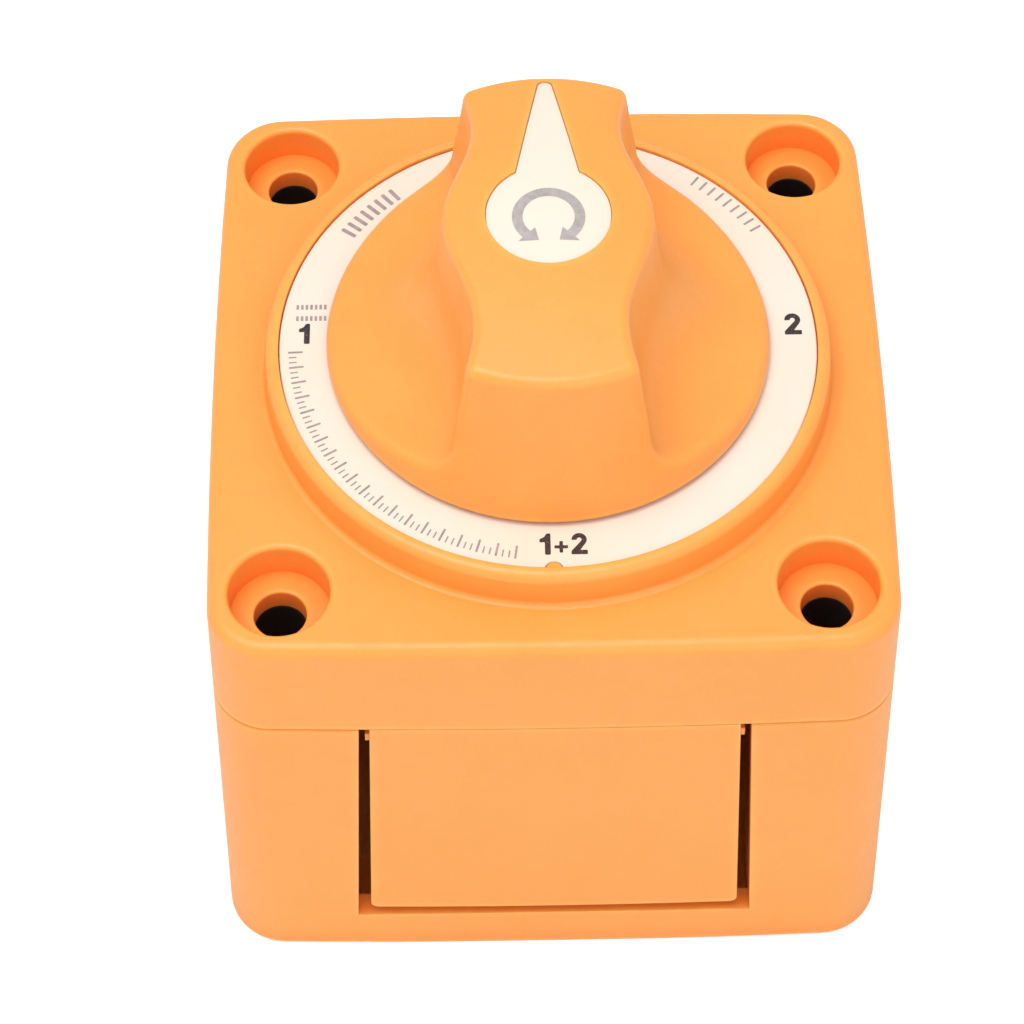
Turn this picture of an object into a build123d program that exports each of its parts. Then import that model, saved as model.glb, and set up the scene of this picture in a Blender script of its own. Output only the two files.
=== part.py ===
from build123d import *
import math
import os

# Four-position rotary battery switch: OFF, 1, 1+2 and 2.
# Millimetres. +Z is the knob's axis, +Y the OFF position, and the origin is the centre of the
# back face of the back cover.

# Body
HALF_WIDTH = 34.3          # middle of a crowned side
CROWN = 0.6                # how far a side bulges between its corners
CORNER_R = 6.0
WALL = 2.4
SEAM_Z = 39.4              # lower edge of the upper case
TOP_Z = 52.5               # top face of the upper case
CEILING_Z = 49.5           # underside of the top face
SEAM_GAP = 0.2
TOP_EDGE_R = 1.3
SEAM_EDGE_R = 0.1
TONGUE_INSET = WALL + 0.15  # outer face of the cover's tongues, inside the case wall
TONGUE_HEIGHT = 1.8         # above the seam

# Mounting holes
HOLE_PITCH = 53.7
HOLE_R = 2.6
COUNTERBORE_R = 5.0
COUNTERBORE_Z = 48.5
COUNTERBORE_EDGE_R = 0.5
HOLE_EDGE_R = 0.25
CORNER_BOSS_R = 6.6
CORNER_BOSS_Z = 46.2

# Round boss that carries the label
BOSS_R = 29.0
BOSS_TOP_Z = 56.5
BOSS_CAVITY_R = 25.0
BOSS_CEILING_Z = 52.4
LABEL_R = 27.35
LABEL_BORE_R = 9.2
LABEL_SEAT_Z = 55.4
LABEL_Z = 56.2
KEY_R = 0.8
KEY_Y = -(LABEL_R + 0.1)

# Knob
KNOB_BASE_Z = 56.7
KNOB_BASE_R = 22.6
SCOOP_RIM_Z = 58.1          # where a finger scoop runs out over the rim
KNOB_EDGE_R = 19.6
KNOB_EDGE_Z = 74.6
KNOB_CREST_Z = 76.7
BAR_HUB = 10.5             # half-widths of the handle bar
BAR_WAIST = 7.45
BAR_END = 8.5
WAIST_Y = 12.3
BAR_END_Y = 18.0
BAR_DRAFT = 0.11
KNOB_ROUNDING = 1.1
KNOB_UNDERCUT = 0.6
KNOB_RIM_WALL = 1.2
KNOB_POCKET = (8.4, 8.6, 11.6)      # width, length, distance from the axis
KNOB_POCKET_R = 1.5
KNOB_POCKET_TOP_Z = 70.5
SOCKET_BOSS_R = 8.5
KNOB_SCREW_HEAD_R = 3.9
KNOB_SCREW_HEAD_Z = (72.5, 75.1)
KNOB_SCREW_R = 1.98
KNOB_SCREW_GAP = 0.1
KNOB_SCREW_END_Z = 58.6
INSERT_SINK = 0.25
INSERT_THICK = 1.2
INSERT_DISC_R = 6.2
POINTER_ROOT = 3.15
POINTER_TIP_R = 0.75
POINTER_TIP_Y = 18.7
INSERT_START_Z = KNOB_EDGE_Z - 5    # below anything the insert reaches

# Rotor, seen from the knob down
SHAFT_SQUARE = 8.0
SHAFT_TOP_Z = 67.4
JOURNAL_R = 6.0
JOURNAL_TOP_Z = 56.6
COLLAR_R = 9.0
COLLAR_Z = 51.5
CAM_TOP_Z = 51.4
CAM_BOTTOM_Z = 48.6
CAM_FLAT = 9.0
CAM_CORNER_R = 10.8
HUB_R = 4.9
HUB_BOTTOM_Z = 43.7
DRIVE_RIB = (12.6, 2.5)
DRIVE_RIB_TOP_Z = 46.0
PIVOT_R = 3.0
PIVOT_BOTTOM_Z = 39.7
RUNNING_FIT = 0.05
O_RING_GROOVE = (4.64, 52.7, 54.2)  # radius at its floor, low and high sides

# Detent leaf springs
LEAF_THICK = 0.5
LEAF_LENGTH = 27.0
LEAF_HEIGHT = 2.2
LEAF_Z = 50.0
LEAF_GUIDE_Y = 12.5
LEAF_GUIDE_GAP = 0.05
OUTER_LUG = (2.2, 3.0)
INNER_LUG = (1.6, 2.0)

# Contacts
CONTACT_BOTTOM_Z = 43.62
CONTACT_TOP_Z = 45.4
CONTACT_HUB_R = 9.0
CONTACT_SWEEP_R = 21.0
CONTACT_HALF_ANGLE = 80.0
PAD_TOP_Z = 43.6
PAD_BOTTOM_Z = 41.6
PAD_R = 6.5
PAD_FLAT = 5.5
BUS_BOTTOM_Z = 41.2
BUS_WIDTH = 9.0
CENTRE_PAD_R = 8.2
CENTRE_PAD_BORE_R = 3.4
METAL_GAP = 0.1            # round copper let into the moulding
STUD_GAP = 0.04
STUD_CIRCLE_R = 17.0
STUD_ANGLES = {"contact_stud_1": 200.0, "contact_stud_2": 340.0, "contact_stud_common": 90.0}
STUD_R = 4.76              # 3/8 inch thread
STUD_END_Z = 16.0

# Contact base
BASE_INSET = 3.8
BASE_BOTTOM_Z = 38.4
BASE_FLOOR_Z = 42.4
CHAMBER_R = (24.6, 26.6)
CHAMBER_TOP_Z = 48.7
BASE_COLUMN_R = 5.0
BASE_SCREW_XY = (27.5, 13.0)
BASE_SCREW_R = 1.46
BASE_SCREW_BOSS_R = 2.9
SCREW_SINK_R = 3.0
SCREW_SINK = 1.7
SEAL_SINK = 1.5

# Terminal hardware, top to bottom
FLAT_WASHER = (4.9, 9.5, 36.8, 38.38)      # inner and outer radius, low and high faces
LOCK_WASHER = (4.9, 8.2, 34.6, 36.78)
LOCK_WASHER_SPLIT = 1.2
NUT_FLAT = 14.3
NUT_Z = (26.3, 34.58)

# Back cover and side plates
COVER_TOP_Z = SEAM_Z - SEAM_GAP
POST_TOP_Z = BASE_BOTTOM_Z - 0.1   # top of the tubes and returns, just under the contact base
COVER_FLOOR = 2.5
RIM_Z = 5.5
RIM_RECESS = 0.2
WINDOW_HALF = (20.25, 19.3)        # at the rim, at the top
POST_RETURN = 2.5
POST_TUBE_R = 4.6
PLATE_HALF = (18.9, 18.27)         # at its bottom, at its top
PLATE_Z = (7.0, SEAM_Z - 0.05)
PLATE_THICK = 2.0
WEB = (0.5, 1.1)

CORNERS = [(i, j) for i in (-1, 1) for j in (-1, 1)]


def outline(inset=0.0):
    """Plan of the body: a square with crowned sides and round corners, moved in by inset."""
    middle = HALF_WIDTH - inset
    corner = middle - CROWN
    arcs = []
    for turn in range(4):
        arc = ThreePointArc((-corner, -corner), (0, -middle), (corner, -corner))
        arcs.append(arc.rotate(Axis.Z, 90 * turn))
    face = make_face(arcs)
    return fillet(face.vertices(), max(CORNER_R - inset, 1.0))


def slab(sketch, low, high):
    """Sketch raised from height low to height high."""
    return extrude(Pos(0, 0, low) * sketch, amount=high - low)


def disc(radius, low, high, x=0.0, y=0.0):
    """Upright cylinder from height low to height high."""
    return Pos(x, y, low) * Cylinder(radius, high - low, align=(Align.CENTER, Align.CENTER, Align.MIN))


def ring(inner, outer, low, high, x=0.0, y=0.0):
    """Upright tube from height low to height high."""
    return disc(outer, low, high, x, y) - disc(inner, low - 1, high + 1, x, y)


def block(size_x, size_y, low, high, x=0.0, y=0.0):
    """Upright box from height low to height high."""
    return Pos(x, y, low) * Box(size_x, size_y, high - low, align=(Align.CENTER, Align.CENTER, Align.MIN))


def at_mounting_holes():
    half = HOLE_PITCH / 2
    return [(half * i, half * j) for i, j in CORNERS]


def at_base_screws():
    x, y = BASE_SCREW_XY
    return [(x * i, y * j) for i, j in CORNERS]


def at_studs():
    places = []
    for angle in STUD_ANGLES.values():
        turn = math.radians(angle)
        places.append((STUD_CIRCLE_R * math.cos(turn), STUD_CIRCLE_R * math.sin(turn)))
    return places


def edges_at(part, height, tolerance=0.01):
    """Edges that lie wholly at one height."""
    return part.edges().filter_by_position(Axis.Z, height - tolerance, height + tolerance)


# ---------------------------------------------------------------- upper case

def case_shell():
    shell = slab(outline(), SEAM_Z, TOP_Z)
    shell = fillet(edges_at(shell, TOP_Z), TOP_EDGE_R)
    shell = fillet(edges_at(shell, SEAM_Z), SEAM_EDGE_R)
    return shell - slab(outline(WALL), SEAM_Z - 1, CEILING_Z)


def label_boss():
    """Drafted round boss with a softened foot and rim, hollow below its label seat."""
    foot, rim, draft = 0.6, 1.0, 0.3
    top_r = BOSS_R - draft
    profile = Polyline(
        (0, BOSS_CEILING_Z), (BOSS_R + foot, BOSS_CEILING_Z), (BOSS_R + foot, TOP_Z),
        (BOSS_R, TOP_Z), (top_r, BOSS_TOP_Z), (0, BOSS_TOP_Z), (0, BOSS_CEILING_Z),
    )
    face = make_face(profile)
    face = fillet(face.vertices().sort_by_distance((BOSS_R, TOP_Z))[0], foot)
    face = fillet(face.vertices().sort_by_distance((top_r, BOSS_TOP_Z))[0], rim)
    solid = revolve(Rot(90, 0, 0) * face, Axis.Z)
    return solid - disc(LABEL_R + 0.1, LABEL_SEAT_Z, BOSS_TOP_Z + 1)


def leaf_guides():
    """Four pairs of lugs under the ceiling that hold the ends of the two leaf springs."""
    leaf_inner = CAM_FLAT + RUNNING_FIT
    outer_x = leaf_inner + LEAF_THICK + LEAF_GUIDE_GAP + OUTER_LUG[0] / 2
    inner_x = leaf_inner - LEAF_GUIDE_GAP - INNER_LUG[0] / 2
    low = LEAF_Z - LEAF_HEIGHT / 2 - 0.3
    outer, inner = [], []
    for i, j in CORNERS:
        outer.append(block(*OUTER_LUG, low, BOSS_CEILING_Z, i * outer_x, j * LEAF_GUIDE_Y))
        inner.append(block(*INNER_LUG, low, BOSS_CEILING_Z, i * inner_x, j * LEAF_GUIDE_Y))
    return Part() + outer + inner


def circles(part, radius, height):
    """Circular edges of one radius that lie at one height."""
    rims = part.edges().filter_by(GeomType.CIRCLE)
    return [e for e in rims if abs(e.radius - radius) < 0.01 and abs(e.center().Z - height) < 0.01]


def upper_case():
    """Top face and skirt, with the label boss, the rotor's bearing, leaf guides and corner bosses."""
    cavity = disc(BOSS_CAVITY_R, CEILING_Z - 1, BOSS_CEILING_Z)
    case = case_shell() - cavity
    case += label_boss() - cavity
    case += disc(COLLAR_R, COLLAR_Z, LABEL_SEAT_Z)
    case -= disc(JOURNAL_R + RUNNING_FIT, COLLAR_Z - 1, BOSS_TOP_Z)
    case += leaf_guides()
    case += disc(KEY_R, LABEL_SEAT_Z, LABEL_Z, 0, KEY_Y)
    envelope = slab(outline(WALL / 2), CORNER_BOSS_Z, CEILING_Z)
    for x, y in at_mounting_holes():
        case += disc(CORNER_BOSS_R, CORNER_BOSS_Z, CEILING_Z, x, y) & envelope
    for x, y in at_base_screws():
        case += disc(BASE_SCREW_BOSS_R, BASE_FLOOR_Z + 0.1, CEILING_Z, x, y)
        case -= disc(BASE_SCREW_R + 0.04, BASE_FLOOR_Z, CEILING_Z - 0.8, x, y)
    for x, y in at_mounting_holes():
        case -= disc(COUNTERBORE_R, COUNTERBORE_Z, TOP_Z + 1, x, y)
        case -= disc(HOLE_R, CORNER_BOSS_Z - 1, TOP_Z, x, y)
    case = fillet(circles(case, COUNTERBORE_R, TOP_Z), COUNTERBORE_EDGE_R)
    return fillet(circles(case, HOLE_R, COUNTERBORE_Z), HOLE_EDGE_R)


def label_ring():
    """Flat ring with a half-round notch for the boss's key."""
    label = ring(LABEL_BORE_R, LABEL_R, LABEL_SEAT_Z + 0.02, LABEL_Z)
    label -= disc(KEY_R + 0.12, LABEL_SEAT_Z - 1, LABEL_Z + 1, 0, KEY_Y)
    return chamfer(edges_at(label, LABEL_Z), 0.1)


# ---------------------------------------------------------------- knob

def crest_radius():
    """Radius of the dome through the crest and the end edges of the bar."""
    rise = KNOB_CREST_Z - KNOB_EDGE_Z
    return (KNOB_EDGE_R ** 2 + rise ** 2) / (2 * rise)


def crest_ball(depth=0.0):
    """Ball whose top is the knob's dome, sunk by depth."""
    radius = crest_radius()
    return Pos(0, 0, KNOB_CREST_Z - radius) * Sphere(radius - depth)


def knob_blank():
    """Turned blank: flaring flank and domed top."""
    hollow = 0.35
    middle = ((KNOB_BASE_R + KNOB_EDGE_R) / 2 - hollow, (KNOB_BASE_Z + KNOB_EDGE_Z) / 2)
    radius = crest_radius()
    half_r = KNOB_EDGE_R / 2
    half_z = KNOB_CREST_Z - radius + math.sqrt(radius ** 2 - half_r ** 2)
    bottom = Polyline((0, KNOB_CREST_Z), (0, KNOB_BASE_Z), (KNOB_BASE_R, KNOB_BASE_Z))
    flank = ThreePointArc((KNOB_BASE_R, KNOB_BASE_Z), middle, (KNOB_EDGE_R, KNOB_EDGE_Z))
    dome = ThreePointArc((KNOB_EDGE_R, KNOB_EDGE_Z), (half_r, half_z), (0, KNOB_CREST_Z))
    face = make_face([bottom, flank, dome])
    return Rot(0, 0, 90) * revolve(Rot(90, 0, 0) * face, Axis.Z)


def bar_half_width(y):
    """Half-width of the handle bar at its top, which swells round the hub and at the ends."""
    reach = abs(y) / WAIST_Y
    if reach < 1:
        return BAR_WAIST + (BAR_HUB - BAR_WAIST) * math.cos(math.pi * reach / 2) ** 2
    beyond = (abs(y) - WAIST_Y) / (BAR_END_Y - WAIST_Y)
    return BAR_WAIST + (BAR_END - BAR_WAIST) * beyond ** 2


def scoop_section(y):
    """Upright section of a finger scoop: one curve down the bar's wall and out over the rim."""
    top_z, out_x, curve_points = 84.0, 27.0, 14
    fall = 0.16                         # slope of the floor, down and out to the rim
    end_rise = 2.0                      # how much higher the scoop runs out at its ends
    end_bend_r, middle_bend_r = 3.4, 11.4
    reach = min(abs(y) / BAR_END_Y, 1.0)
    rim_x = math.sqrt(KNOB_BASE_R ** 2 - (reach * BAR_END_Y) ** 2)
    rim_z = SCOOP_RIM_Z + end_rise * reach ** 3
    bend_r = end_bend_r + (middle_bend_r - end_bend_r) * (1 - reach ** 2) ** 2
    bar_x = bar_half_width(min(abs(y), BAR_END_Y + 2))
    wall_top_x = bar_x - BAR_DRAFT * (top_z - KNOB_EDGE_Z - 1)
    # where the bar's drafted wall meets the sloping floor
    floor_at_axis = rim_z + fall * rim_x
    corner_z = (floor_at_axis - fall * (wall_top_x + BAR_DRAFT * top_z)) / (1 - fall * BAR_DRAFT)
    corner_x = wall_top_x + BAR_DRAFT * (top_z - corner_z)
    low_out = (out_x, y, floor_at_axis - fall * out_x)
    bend = FilletPolyline((wall_top_x, y, top_z), (corner_x, y, corner_z), low_out, radius=bend_r)
    curve = Spline([bend @ (i / (curve_points - 1)) for i in range(curve_points)])
    close = Polyline(low_out, (out_x, y, top_z), (wall_top_x, y, top_z))
    return Wire(curve.edges() + close.edges())


def finger_scoop():
    """Loft of scoop sections along the bar, closest together at the hub."""
    half = [25.0, 20.0, 17.0, 14.0, WAIST_Y, 9.5, 6.5, 3.3]
    stations = [-y for y in half] + [0.0] + half[::-1]
    return Solid.make_loft([scoop_section(y) for y in stations])


def rounded_knob():
    """Blank with both scoops, and every edge of the bar rounded."""
    scoop = finger_scoop()
    body = knob_blank() - scoop - mirror(scoop, Plane.YZ)
    sharp = []
    for edge in body.edges():
        box = edge.bounding_box()
        seam = edge.geom_type == GeomType.CIRCLE and abs(edge.center().X) < 0.1 and box.size.X < 0.1
        if box.min.Z > KNOB_BASE_Z + 0.5 and not seam:
            sharp.append(edge)
    body = fillet(sharp, KNOB_ROUNDING)
    return fillet(edges_at(body, KNOB_BASE_Z), 0.3)


def insert_outline(grow=0.0):
    """Round emblem disc with a tapered pointer towards OFF."""
    tip_y = POINTER_TIP_Y - POINTER_TIP_R
    root_y = math.sqrt(INSERT_DISC_R ** 2 - POINTER_ROOT ** 2)
    taper = Polygon(
        (-POINTER_ROOT - grow, 0), (POINTER_ROOT + grow, 0), (POINTER_ROOT + grow, root_y),
        (POINTER_TIP_R + grow, tip_y), (-POINTER_TIP_R - grow, tip_y), (-POINTER_ROOT - grow, root_y),
        align=None,
    )
    return Circle(INSERT_DISC_R + grow) + taper + Pos(0, tip_y) * Circle(POINTER_TIP_R + grow)


def knob():
    """Handle with a recess for the insert, a square socket, a screw bore and two hollow pockets below."""
    body = rounded_knob()
    recess = slab(insert_outline(RUNNING_FIT), INSERT_START_Z, KNOB_CREST_Z + 1)
    body -= recess - crest_ball(INSERT_SINK + INSERT_THICK)
    below = KNOB_BASE_Z - 1
    body -= ring(SOCKET_BOSS_R, KNOB_BASE_R - KNOB_RIM_WALL, below, KNOB_BASE_Z + KNOB_UNDERCUT)
    socket = SHAFT_SQUARE + 2 * RUNNING_FIT
    body -= block(socket, socket, below, SHAFT_TOP_Z + 0.4)
    body -= disc(KNOB_SCREW_R + KNOB_SCREW_GAP, SHAFT_TOP_Z, KNOB_CREST_Z)
    body -= disc(KNOB_SCREW_HEAD_R + KNOB_SCREW_GAP, KNOB_SCREW_HEAD_Z[0], KNOB_CREST_Z)
    width, length, distance = KNOB_POCKET
    for side in (-1, 1):
        plan = Pos(0, side * distance) * RectangleRounded(width, length, KNOB_POCKET_R)
        body -= slab(plan, below, KNOB_POCKET_TOP_Z)
    return body


def pointer_insert():
    """Plate that follows the dome, a little below it."""
    plate = slab(insert_outline(), INSERT_START_Z, KNOB_CREST_Z + 1) & crest_ball(INSERT_SINK)
    return plate - crest_ball(INSERT_SINK + INSERT_THICK - 0.02)


def knob_screw():
    """Pan head screw that holds the knob down on the rotor."""
    low, high = KNOB_SCREW_HEAD_Z
    screw = disc(KNOB_SCREW_R, KNOB_SCREW_END_Z, low + 0.1)
    screw += disc(KNOB_SCREW_HEAD_R - KNOB_SCREW_GAP, low, high)
    screw = fillet(edges_at(screw, high), 0.8)
    return screw - cross_recess(high, 4.4, 1.0)


def cross_recess(height, span, width, depth=1.4):
    """Cross-shaped driver recess, open upwards at height."""
    low, high = height - depth, height + 1
    return block(span, width, low, high) + block(width, span, low, high)


# ---------------------------------------------------------------- rotor and detent

def rotor():
    """Shaft, journal, four-sided detent cam, ribbed hub and lower pivot in one moulding."""
    square = RectangleRounded(SHAFT_SQUARE, SHAFT_SQUARE, 0.8)
    body = slab(square, JOURNAL_TOP_Z - 1, SHAFT_TOP_Z) + disc(JOURNAL_R, CAM_TOP_Z - 1, JOURNAL_TOP_Z)
    groove_r, groove_low, groove_high = O_RING_GROOVE
    body -= ring(groove_r, JOURNAL_R + 1, groove_low, groove_high)
    cam = Rectangle(2 * CAM_FLAT, 2 * CAM_FLAT) & Circle(CAM_CORNER_R)
    body += slab(cam, CAM_BOTTOM_Z, CAM_TOP_Z)
    body += disc(HUB_R, HUB_BOTTOM_Z, CAM_BOTTOM_Z)
    rib_length, rib_width = DRIVE_RIB
    body += block(rib_length, rib_width, HUB_BOTTOM_Z, DRIVE_RIB_TOP_Z)
    body += disc(PIVOT_R, PIVOT_BOTTOM_Z, HUB_BOTTOM_Z)
    return body - disc(KNOB_SCREW_R + 0.02, KNOB_SCREW_END_Z - 1, SHAFT_TOP_Z + 1)


def shaft_o_ring():
    """Seal in the rotor's groove, touching the bearing wall."""
    inner, low, high = O_RING_GROOVE
    section_r = (JOURNAL_R + RUNNING_FIT - inner - 0.03) / 2
    return Pos(0, 0, (low + high) / 2) * Torus(inner + 0.01 + section_r, section_r)


def detent_springs():
    """Two flat steel leaves, each lying against a flat of the cam."""
    x = CAM_FLAT + RUNNING_FIT + LEAF_THICK / 2
    low, high = LEAF_Z - LEAF_HEIGHT / 2, LEAF_Z + LEAF_HEIGHT / 2
    return Part() + [block(LEAF_THICK, LEAF_LENGTH, low, high, side * x) for side in (-1, 1)]


# ---------------------------------------------------------------- contacts

def moving_contact():
    """Copper sector that sweeps the two stud heads, keyed to the hub's ribs."""
    reach, corner_r, rib_gap = CONTACT_SWEEP_R + 10, 2.0, 0.1
    side = math.radians(90 - CONTACT_HALF_ANGLE)
    x, y = reach * math.cos(side), reach * math.sin(side)
    wedge = Polygon((0, 0), (-x, y), (-reach, reach), (reach, reach), (x, y), align=None)
    sector = fillet((Circle(CONTACT_SWEEP_R) & wedge).vertices().group_by(Axis.Y)[-1], corner_r)
    plan = sector + Circle(CONTACT_HUB_R)
    rib_length, rib_width = DRIVE_RIB
    plan -= Circle(HUB_R + 0.08) + Rectangle(rib_length + 2 * rib_gap, rib_width + 2 * rib_gap)
    return slab(plan, CONTACT_BOTTOM_Z, CONTACT_TOP_Z)


def contact_spring():
    """Open coil between the moving contact and the cam."""
    wire_r, coil_r, gap = 0.42, 7.1, 0.03
    low, high = CONTACT_TOP_Z + wire_r + gap, CAM_BOTTOM_Z - wire_r - gap
    path = Pos(0, 0, low) * Helix(pitch=1.05, height=high - low, radius=coil_r)
    section = Plane(origin=path @ 0, z_dir=path % 0) * Circle(wire_r)
    return sweep(section, path=path, is_frenet=True)


def pad_plan(grow=0.0):
    """Round stud head with two flats that stop it turning."""
    return Circle(PAD_R + grow) & Rectangle(2 * (PAD_R + 1), 2 * (PAD_FLAT + grow))


def contact_stud(x, y, head_bottom):
    """Terminal stud whose flat head is a fixed contact."""
    stud = disc(STUD_R, STUD_END_Z, PAD_TOP_Z, x, y)
    stud = chamfer(edges_at(stud, STUD_END_Z), 0.8)
    head = slab(Pos(x, y) * pad_plan(), head_bottom, PAD_TOP_Z)
    return stud + chamfer(edges_at(head, PAD_TOP_Z), 0.3)


def common_bus_bar():
    """Flat bar from the common stud to the ring contact round the pivot."""
    bar = bus_shape(0, BASE_FLOOR_Z) + disc(CENTRE_PAD_R, BUS_BOTTOM_Z, PAD_TOP_Z)
    bar -= disc(CENTRE_PAD_BORE_R, BUS_BOTTOM_Z - 1, PAD_TOP_Z + 1)
    return bar - disc(STUD_R + STUD_GAP, BUS_BOTTOM_Z - 1, PAD_TOP_Z + 1, 0, STUD_CIRCLE_R)


def bus_shape(grow, high):
    """Bar with a round end under the stud head, grown all round by grow."""
    bar = block(BUS_WIDTH + 2 * grow, STUD_CIRCLE_R, BUS_BOTTOM_Z, high, 0, STUD_CIRCLE_R / 2)
    return bar + disc(PAD_R + grow, BUS_BOTTOM_Z, high, 0, STUD_CIRCLE_R)


def contact_base():
    """Moulded plate that carries the studs, with the round contact chamber on top."""
    below, above = BASE_BOTTOM_Z - 1, BASE_FLOOR_Z + 1
    base = slab(outline(BASE_INSET), BASE_BOTTOM_Z, BASE_FLOOR_Z)
    base += ring(*CHAMBER_R, BASE_FLOOR_Z - 1, CHAMBER_TOP_Z)
    above_tongues = slab(outline(TONGUE_INSET), SEAM_Z + TONGUE_HEIGHT + 0.3, CORNER_BOSS_Z - RUNNING_FIT)
    for x, y in at_mounting_holes():
        base += disc(BASE_COLUMN_R, BASE_FLOOR_Z - 2, CORNER_BOSS_Z, x, y) & above_tongues
        base -= disc(HOLE_R, below, CORNER_BOSS_Z, x, y)
    base -= bus_shape(METAL_GAP, above) + disc(CENTRE_PAD_R + METAL_GAP, BUS_BOTTOM_Z, above)
    base -= disc(PIVOT_R + RUNNING_FIT, PIVOT_BOTTOM_Z - METAL_GAP, BASE_FLOOR_Z)
    for x, y in at_studs():
        base -= disc(STUD_R + STUD_GAP, below, above, x, y)
        base -= disc(PAD_R, below, BASE_BOTTOM_Z + SEAL_SINK, x, y)
    for x, y in at_studs()[:2]:
        base -= slab(Pos(x, y) * pad_plan(METAL_GAP), PAD_BOTTOM_Z, above)
    for x, y in at_base_screws():
        base -= disc(BASE_SCREW_R + 0.14, below, above, x, y)
        base -= disc(SCREW_SINK_R, below, BASE_BOTTOM_Z + SCREW_SINK, x, y)
    return base


def chamber_gasket():
    inner, outer = CHAMBER_R
    return ring(inner + 0.5, outer - 0.2, CHAMBER_TOP_Z, CEILING_Z)


# ---------------------------------------------------------------- fasteners and seals

def stud_o_rings():
    """Seal round each stud, in the counterbore under the base."""
    section_r = 0.74
    major = STUD_R + 0.02 + section_r
    height = BASE_BOTTOM_Z + section_r + 0.01
    return Part() + [Pos(x, y, height) * Torus(major, section_r) for x, y in at_studs()]


def flat_washers():
    inner, outer, low, high = FLAT_WASHER
    washers = []
    for x, y in at_studs():
        washer = ring(inner, outer, low, high, x, y)
        washers.append(chamfer(edges_at(washer, low), 0.2))
    return Part() + washers


def lock_washers():
    """Split rings, each open on the side away from the knob's axis."""
    inner, outer, low, high = LOCK_WASHER
    cut = block(outer + 1, LOCK_WASHER_SPLIT, low - 1, high + 1, outer / 2)
    washers = []
    for (x, y), angle in zip(at_studs(), STUD_ANGLES.values()):
        gap = Pos(x, y) * Rot(0, 0, angle) * cut
        washers.append(ring(inner, outer, low, high, x, y) - gap)
    return Part() + washers


def terminal_nuts():
    """Hexagon nuts, each with its corners turned off by a cone at the free end."""
    low, high = NUT_Z
    corner_r = NUT_FLAT / 2 / math.cos(math.pi / 6)
    upright = (Align.CENTER, Align.CENTER, Align.MIN)
    cone = Cone(corner_r - 0.4, corner_r + 4.4, high - low, align=upright)
    nuts = []
    for x, y in at_studs():
        nut = slab(Pos(x, y) * RegularPolygon(corner_r, 6), low, high) & Pos(x, y, low) * cone
        nuts.append(nut - disc(STUD_R + STUD_GAP / 2, low - 1, high + 1, x, y))
    return Part() + nuts


def base_screws():
    """Pan head screws, driven upwards from under the contact base."""
    head_r, head_height, end_z = 2.8, 1.5, CEILING_Z - 1.6
    low = BASE_BOTTOM_Z + 0.1
    screws = []
    for x, y in at_base_screws():
        head = disc(head_r, low, low + head_height, x, y)
        head = fillet(edges_at(head, low), 0.6)
        shank = disc(BASE_SCREW_R, low + head_height - 1, end_z, x, y)
        recess = Pos(x, y, 2 * low) * Rot(180, 0, 0) * cross_recess(low, 3.0, 0.7)
        screws.append(head + shank - recess)
    return Part() + screws


# ---------------------------------------------------------------- back cover and side plates

def side_prism(half_low, half_high, low, high, inner_y):
    """Trapezoid prism that reaches out through the front side, from inner_y outwards."""
    face = make_face(Polyline(
        (-half_low, low), (half_low, low), (half_high, high), (-half_high, high), (-half_low, low),
    ))
    outer_y = HALF_WIDTH + 2
    return Pos(0, -outer_y, 0) * extrude(Rot(90, 0, 0) * face, amount=-(outer_y - inner_y))


def at_four_sides(part):
    """Copies of a part made for the front side, one on each side."""
    return [Rot(0, 0, 90 * turn) * part for turn in range(4)]


def back_cover():
    """Floor, low rim and four bored corner posts."""
    cover = slab(outline(), 0, COVER_TOP_Z)
    cover = fillet(edges_at(cover, 0) + edges_at(cover, COVER_TOP_Z), 0.4)
    cover -= slab(outline(WALL), COVER_FLOOR, COVER_TOP_Z + 1)
    half_low, half_high = WINDOW_HALF
    for window in at_four_sides(side_prism(half_low, half_high, RIM_Z, COVER_TOP_Z + 1, 26.0)):
        cover -= window
    for relief in at_four_sides(side_prism(half_low, half_low, -1, RIM_Z + 0.1, HALF_WIDTH - RIM_RECESS)):
        cover -= relief
    for post_return in post_returns():
        cover += post_return
    for x, y in at_mounting_holes():
        cover += disc(POST_TUBE_R, COVER_FLOOR - 1, POST_TOP_Z, x, y)
        cover -= disc(HOLE_R, -1, COVER_TOP_Z + 1, x, y)
    return cover + locating_tongues()


def post_returns():
    """Short inward flanges beside each window, which stiffen the corner posts."""
    envelope = slab(outline(WALL / 2), COVER_FLOOR - 1, POST_TOP_Z)
    near = WINDOW_HALF[0] + POST_RETURN / 2
    far = HALF_WIDTH - WALL - 3
    flanges = []
    for i, j in CORNERS:
        for x, y, size_x, size_y in ((near, far, POST_RETURN, 7.0), (far, near, 7.0, POST_RETURN)):
            flange = block(size_x, size_y, COVER_FLOOR - 1, POST_TOP_Z, i * x, j * y)
            flanges.append(flange & envelope)
    return flanges


def locating_tongues():
    """Corner lips that enter the upper case, each on a thicker foot joined to the wall."""
    thick, corner_x, corner_size = 1.05, 29, 13
    inner = outline(TONGUE_INSET + thick)
    lip = slab(outline(TONGUE_INSET) - inner, COVER_TOP_Z - 3, SEAM_Z + TONGUE_HEIGHT)
    lip += slab(outline(WALL / 2) - inner, COVER_TOP_Z - 3, COVER_TOP_Z - 0.6)
    corners = [block(corner_size, corner_size, 0, TOP_Z, corner_x * i, corner_x * j) for i, j in CORNERS]
    return lip & (Part() + corners)


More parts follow.
